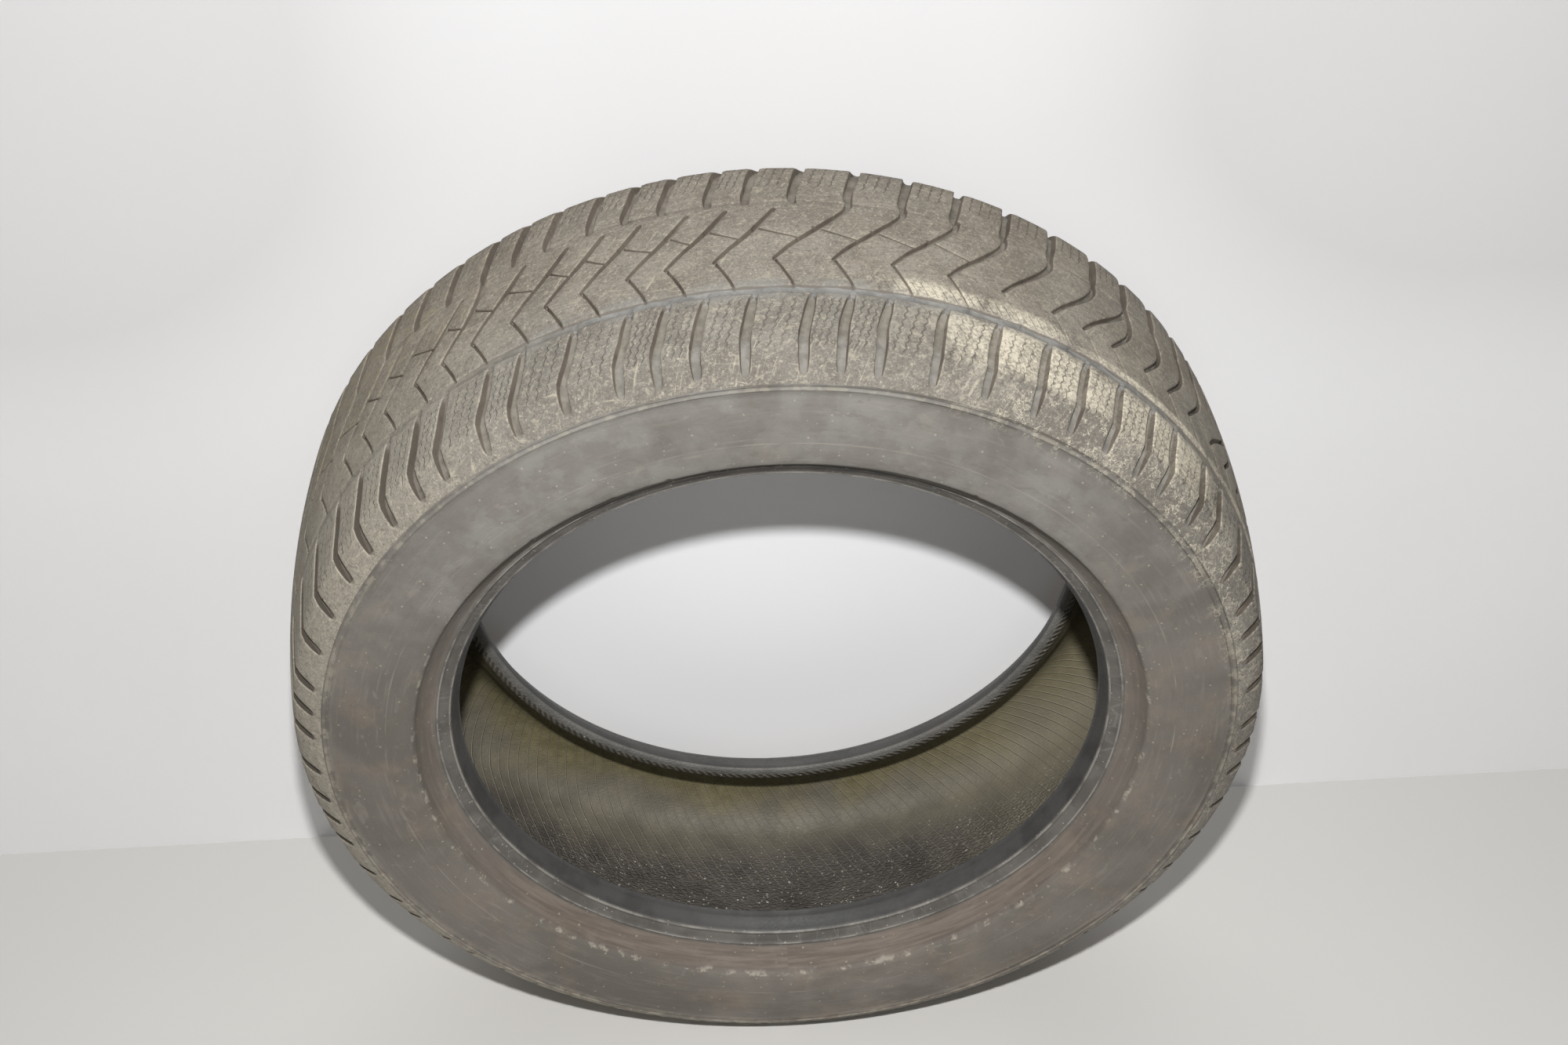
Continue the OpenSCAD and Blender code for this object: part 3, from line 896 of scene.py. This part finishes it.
def side_look(n, p, crust):
    """Colour and relief of the sidewall, outside the bead."""
    top_haze_and_light = n.tones(p.patch, 0.4, 0.6, (121, 117, 111), (134, 132, 127))
    smear = n.noise(n.vector(n.mul(p.arc, 0.05), n.mul(p.radius, 0.13), 4.0), 1.0, 4.0, 0.65, 0.8)
    hollow = n.band(p.radius, 217.0, 228.0, 1.5)
    hollow = n.sub(hollow, n.mul(n.mul(hollow, n.band(p.degrees, -125.0, 125.0, 15.0)), 0.6))
    # Painted shade in the hollow under the rim guard, round the top.
    under = n.mul(n.band(p.radius, 217.0, 227.5, 1.0), n.band(p.degrees, -58.0, 58.0, 10.0))
    rub = n.mul(n.line(p.radius, GUARD_R + 0.6, 0.4, 1.8), n.step(p.blotch, 0.52, 0.62))
    # The double ring's two grooves, which get painted shade.
    rings = n.most(n.line(p.radius, RING_R + 2.9, 0.35, 0.8), n.line(p.radius, RING_R - 1.0, 0.35, 0.8))
    colour = n.layers(n.tones(p.cloud, 0.36, 0.64, (102, 97, 90), (120, 114, 107)), [
        # Painted shade: darker at the left and right of the sidewall.
        (n.band(n.math("ABSOLUTE", p.degrees), 75.0, 125.0, 20.0), 0.4, (98, 93, 86)),
        (n.step(p.patch, 0.5, 0.72), 0.5, (132, 119, 104)),
        # Lighter towards the top: partly a pale haze, partly painted light.
        (p.top, n.step(p.cloud, 0.34, 0.56, 0.45, 0.85), top_haze_and_light),
        (n.step(p.streak, 0.54, 0.7), 0.14, (160, 153, 144)),
        (n.step(p.streak, 0.42, 0.26), 0.2, (90, 85, 79)),
        (n.step(smear, 0.55, 0.7), 0.3, (98, 90, 82)),
        (n.step(smear, 0.42, 0.3), 0.28, (150, 143, 132)),
        (hollow, 0.75, n.tones(p.streak, 0.36, 0.64, (98, 87, 78), (121, 109, 99))),
        # Painted shade under the rim guard.
        (under, 0.6, (70, 64, 55)),
        (n.mul(n.line(p.radius, 246.5, 0.2, 0.7), n.step(p.streak, 0.44, 0.58)), 0.4, (156, 149, 138)),
        (n.mul(rub, n.sub(1.0, n.mul(p.top, 0.8))), 0.6, (176, 168, 154)),
        # Pale band between the double ring's lines: partly dust, partly a painted highlight on its ridge.
        (n.mul(n.line(p.radius, RING_R + 0.8, 1.0, 3.4), n.step(p.blotch, 0.44, 0.6)), 0.4, (168, 161, 146)),
        # Painted shade in the double ring's grooves, stronger on the right.
        (n.mul(rings, n.step(p.streak, 0.34, 0.54)), n.step(p.degrees, -30.0, 20.0, 0.3, 0.8), (80, 75, 68)),
        (p.flecks(n, p.cells, 0.1), 0.5, (180, 170, 150)),
        (crust, 0.7, (196, 187, 168)),
    ])
    height = n.add(n.mul(n.sub(p.blotch, 0.5), 0.3), n.mul(n.sub(p.grain, 0.5), 0.12))
    return colour, height


def bead_look(n, p):
    """Colour and relief of the bead: a smooth seat, then a cracked band between two pale rings, partly rubbed
    and partly painted highlights.
    """
    seat = n.tones(p.patch, 0.4, 0.6, (59, 58, 57), (70, 69, 67))
    band = n.tones(p.patch, 0.4, 0.6, (82, 79, 75), (98, 94, 89))
    face = n.step(p.radius, 205.6, 207.0)
    # The two pale rings at the bead's edges: partly rubbing, partly painted highlights.
    rings = n.most(n.line(p.radius, 207.1, 0.3, 0.9), n.line(p.radius, 214.8, 0.3, 0.8))
    rings = n.mul(rings, n.step(n.noise(p.mm, 0.05, 3.0, 0.6), 0.4, 0.58, 0.15, 1.0))
    crack_at = n.vector(n.mul(p.arc, 0.05), n.mul(p.radius, 0.02), 2.0)
    crack = n.step(n.cells(crack_at, 1.0, "DISTANCE_TO_EDGE"), 0.022, 0.008)
    crack = n.mul(n.mul(crack, face), n.step(p.cloud, 0.46, 0.56))
    colour = n.layers(n.mix(face, seat, band), [
        (n.most(rings, n.mul(crack, 0.3)), 0.5, (166, 162, 154)),
        (n.mul(p.flecks(n, p.small_cells, 0.12), face), 0.7, (186, 181, 170)),
    ])
    return colour, n.mul(n.sub(p.blotch, 0.5), 0.15)


def liner_look(n, p):
    """Colour and relief of the inside: slanting vent ridges, leathery grain, olive stain, ribbed bead."""
    low = n.tones(p.patch, 0.35, 0.65, (70, 66, 62), (88, 83, 77))
    high = n.tones(p.patch, 0.35, 0.65, (98, 93, 82), (113, 107, 93))
    stain = n.tones(p.blotch, 0.35, 0.65, (104, 97, 66), (122, 115, 84))
    rise = n.add(p.y, n.mul(n.sub(p.cloud, 0.5), 50.0))
    stained = n.step(n.add(p.radius, n.mul(n.sub(p.cloud, 0.5), 90.0)), 284.0, 250.0)
    speck_zone = n.step(n.add(n.mul(p.y, -0.01), n.mul(n.sub(p.patch, 0.5), 1.2)), -0.95, 0.0)
    speck = n.most(p.flecks(n, p.small_cells, 0.15), p.flecks(n, p.cells, 0.1))
    per_turn = VENTS / (2 * math.pi)
    phase = n.sub(n.mul(p.turn, per_turn), n.mul(p.along, VENT_LEAN * per_turn / LINER_R))
    # The vent ridges are pale lines in the colour as well as a bump: a painted highlight along them.
    vent = n.line(n.math("FRACT", n.add(phase, 500.0)), 0.5, 0.015, 0.08)
    vent = n.mul(vent, n.step(p.radius, 216.0, 222.0))
    vent_zone = n.step(n.add(p.y, n.mul(n.sub(p.patch, 0.5), 30.0)), 28.0, 48.0)
    knurl = n.math("SINE", n.add(n.mul(p.turn, BEAD_RIBS), n.mul(p.radius, 1.2)))
    knurl_zone = n.band(p.radius, 207.0, 212.0, 0.3)
    # The ribs' colour follows their relief: painted shade in the troughs, lighter on the crests.
    ribs = n.tones(knurl, -0.7, 0.7, (76, 72, 65), (104, 100, 91))
    ribs = n.layers(ribs, [(p.flecks(n, p.small_cells, 0.14), 0.7, (190, 186, 176))])
    toe = n.tones(p.patch, 0.4, 0.6, (98, 96, 92), (113, 111, 106))
    colour = n.layers(n.mix(n.step(rise, 44.0, 82.0), low, high), [
        (stained, 0.85, stain),
        (n.band(p.degrees, 95.0, 150.0, 15.0), 0.42, (138, 131, 110)),
        (n.mul(speck, speck_zone), 0.85, (204, 199, 184)),
        # Painted highlight along the vent ridges.
        (n.mul(vent, vent_zone), 0.45, (160, 154, 136)),
        (knurl_zone, 1.0, ribs),
        (n.step(p.radius, 207.1, 206.5), 1.0, toe),
    ])
    crease = n.vector(n.mul(p.turn, LINER_R * 0.2), n.mul(p.y, 0.42), n.mul(p.radius, 0.42))
    wrinkle = n.step(n.cells(crease, 1.0, "DISTANCE_TO_EDGE"), 0.02, 0.22)
    leather = n.mul(wrinkle, n.step(p.y, 70.0, 36.0, 0.2, 1.0))
    height = n.add(n.mul(n.mul(vent, n.step(p.y, 28.0, 48.0)), 0.6), n.mul(leather, 0.5))
    return colour, n.add(height, n.mul(n.mul(knurl, knurl_zone), 0.3))


def rubber(n):
    """The looks of the casing's zones, each in its place."""
    p = Place(n)
    tread_colour, tread_height, crust = tread_look(n, p)
    side_colour, side_height = side_look(n, p, crust)
    bead_colour, bead_height = bead_look(n, p)
    liner_colour, liner_height = liner_look(n, p)
    colour = n.mix(p.tread, side_colour, tread_colour)
    colour = n.mix(p.bead, colour, bead_colour)
    colour = n.mix(p.inside, colour, liner_colour)
    height = n.mul(n.sub(p.fine, 0.5), 0.12)
    for zone, relief in ((p.tread, tread_height), (p.side, side_height),
                         (p.bead, bead_height), (p.inside, liner_height)):
        height = n.add(height, n.mul(zone, relief))
    rough = n.step(p.grain, 0.3, 0.7, 0.82, 0.96)
    rough = n.sub(rough, n.mul(p.bead, 0.4))
    rough = n.sub(rough, n.mul(n.mul(p.side, n.step(p.cloud, 0.4, 0.6)), 0.16))
    rough = n.sub(rough, n.mul(p.inside, 0.32))
    bump = n.node("ShaderNodeBump", {"Strength": 1.0, "Distance": MM, "Height": height})
    return n.node("ShaderNodeBsdfPrincipled", {"Base Color": colour, "Roughness": rough, "Normal": bump,
                                               "Specular IOR Level": 0.35})


tyre = bpy.data.objects.new("tyre_rubber", build_mesh())
bpy.context.scene.collection.objects.link(tyre)
tyre.data.materials.append(material("worn_rubber", rubber))
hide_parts("tyre")
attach(tyre, "root")


# ---------------- floor, wall, light and camera, in metres
FLOOR_Z = FLAT_Z * MM
FLOOR_R = 2.3
WALL_Y = 0.1196                # just behind the tyre
WALL_TURN = 0.0095             # the wall isn't quite square to the tyre
WALL_REACH = 1.3
WALL_TOP = 0.9
AS_LIGHT, AS_SEEN = 0.12, 0.6  # the world's strength as light, and as a background
CAMERA_LENS = 72.73            # for a sensor 36 wide
CAMERA_PLACE = Vector((-0.0396, -1.4603, 1.4392))
CAMERA_RIGHT = Vector((0.99867, -0.04848, -0.01771))
CAMERA_UP = Vector((0.04587, 0.67616, 0.73533))
CAMERA_BACK = Vector((-0.02368, -0.73516, 0.67748))


def paint(n, colour):
    """Flat paint with a faint cloudiness; colour is a linear colour or a socket."""
    tone = n.step(n.noise(n.coordinates(), 1.6, 3.0, 0.5), 0.35, 0.65)
    cloudy = n.layers(colour, [(tone, 0.06, (150, 148, 145))])
    inputs = {"Base Color": cloudy, "Roughness": 0.85, "Specular IOR Level": 0.2}
    return n.node("ShaderNodeBsdfPrincipled", inputs)


def floor_paint(n):
    return paint(n, srgb(215, 213, 209))


def wall_paint(n):
    """Pale, with a painted falloff of light: greyer to the sides and towards the top; only the front is
    there.
    """
    x, _, z = n.parts(n.coordinates())
    aside = n.step(n.math("ABSOLUTE", x), 0.12, 0.45)
    high = n.step(z, 0.05, 0.32)
    # Painted falloff of light: greyer to the sides and towards the top.
    painted_falloff = n.mul(aside, n.add(n.mul(high, 0.42), 0.58))
    painted_falloff = n.add(painted_falloff, n.mul(high, 0.55))
    front = paint(n, n.mix(painted_falloff, srgb(251, 251, 252), srgb(219, 218, 218)))
    clear = n.node("ShaderNodeBsdfTransparent")
    back = n.node("ShaderNodeNewGeometry", out="Backfacing")
    return n.node("ShaderNodeMixShader", {0: n.sub(1.0, back), 1: clear, 2: front})


def sheet(name, corners, paint_it):
    """A flat face with its own paint, for the floor or the wall."""
    mesh = bpy.data.meshes.new(name)
    mesh.from_pydata(corners, [], [tuple(range(len(corners)))])
    obj = bpy.data.objects.new(name, mesh)
    mesh.materials.append(material(name + "_paint", paint_it))
    bpy.context.scene.collection.objects.link(obj)
    return obj


turns = np.linspace(0, 2 * math.pi, 97)[:-1]
sheet("floor", [(FLOOR_R * math.cos(a), FLOOR_R * math.sin(a), FLOOR_Z) for a in turns], floor_paint)
left_y, right_y = WALL_Y - WALL_TURN * WALL_REACH, WALL_Y + WALL_TURN * WALL_REACH
wall = sheet("wall", [(-WALL_REACH, left_y, FLOOR_Z), (WALL_REACH, right_y, FLOOR_Z),
                      (WALL_REACH, right_y, WALL_TOP), (-WALL_REACH, left_y, WALL_TOP)], wall_paint)
# The wall is seen, but gives and stops no light, so that it doesn't shade the tyre's far side.
wall.visible_diffuse = False
wall.visible_shadow = False


def area_light(name, place, size, watts, spread=180.0):
    """A round lamp that looks at the frame's origin."""
    data = bpy.data.lights.new(name, "AREA")
    data.shape = "DISK"
    data.size = size
    data.energy = watts
    data.spread = math.radians(spread)
    obj = bpy.data.objects.new(name, data)
    obj.location = place
    obj.rotation_euler = (-Vector(place)).to_track_quat("-Z", "Y").to_euler()
    bpy.context.scene.collection.objects.link(obj)


# The key stands where the photo's flash was, just above the camera.
area_light("key", (-0.036, -1.325, 1.645), 0.06, 16.7, 110.0)
area_light("fill", (0.0, -2.8, 2.0), 2.4, 6.0)
area_light("back_fill", (0.0, 2.6, 2.0), 2.4, 34.0)

world = bpy.data.worlds.new("studio")
n = Nodes(world)
rays = n.node("ShaderNodeLightPath").node.outputs
seen = n.most(rays["Is Camera Ray"], n.most(rays["Is Glossy Ray"], rays["Is Transmission Ray"]))
strength = n.node("ShaderNodeMapRange", {"Value": seen, "To Min": AS_LIGHT, "To Max": AS_SEEN})
backdrop = n.node("ShaderNodeBackground", {"Color": (1.0, 1.0, 1.0, 1.0), "Strength": strength})
n.node("ShaderNodeOutputWorld", {"Surface": backdrop})
bpy.context.scene.world = world

camera_data = bpy.data.cameras.new("camera")
camera_data.sensor_fit = "HORIZONTAL"
camera_data.sensor_width = 36.0
camera_data.lens = CAMERA_LENS
camera = bpy.data.objects.new("camera", camera_data)
turned = Matrix((CAMERA_RIGHT, CAMERA_UP, CAMERA_BACK)).transposed().to_4x4()
camera.matrix_world = Matrix.Translation(CAMERA_PLACE) @ turned
bpy.context.scene.collection.objects.link(camera)
bpy.context.scene.camera = camera
bpy.context.scene.view_settings.view_transform = "Standard"

bpy.context.view_layer.update()
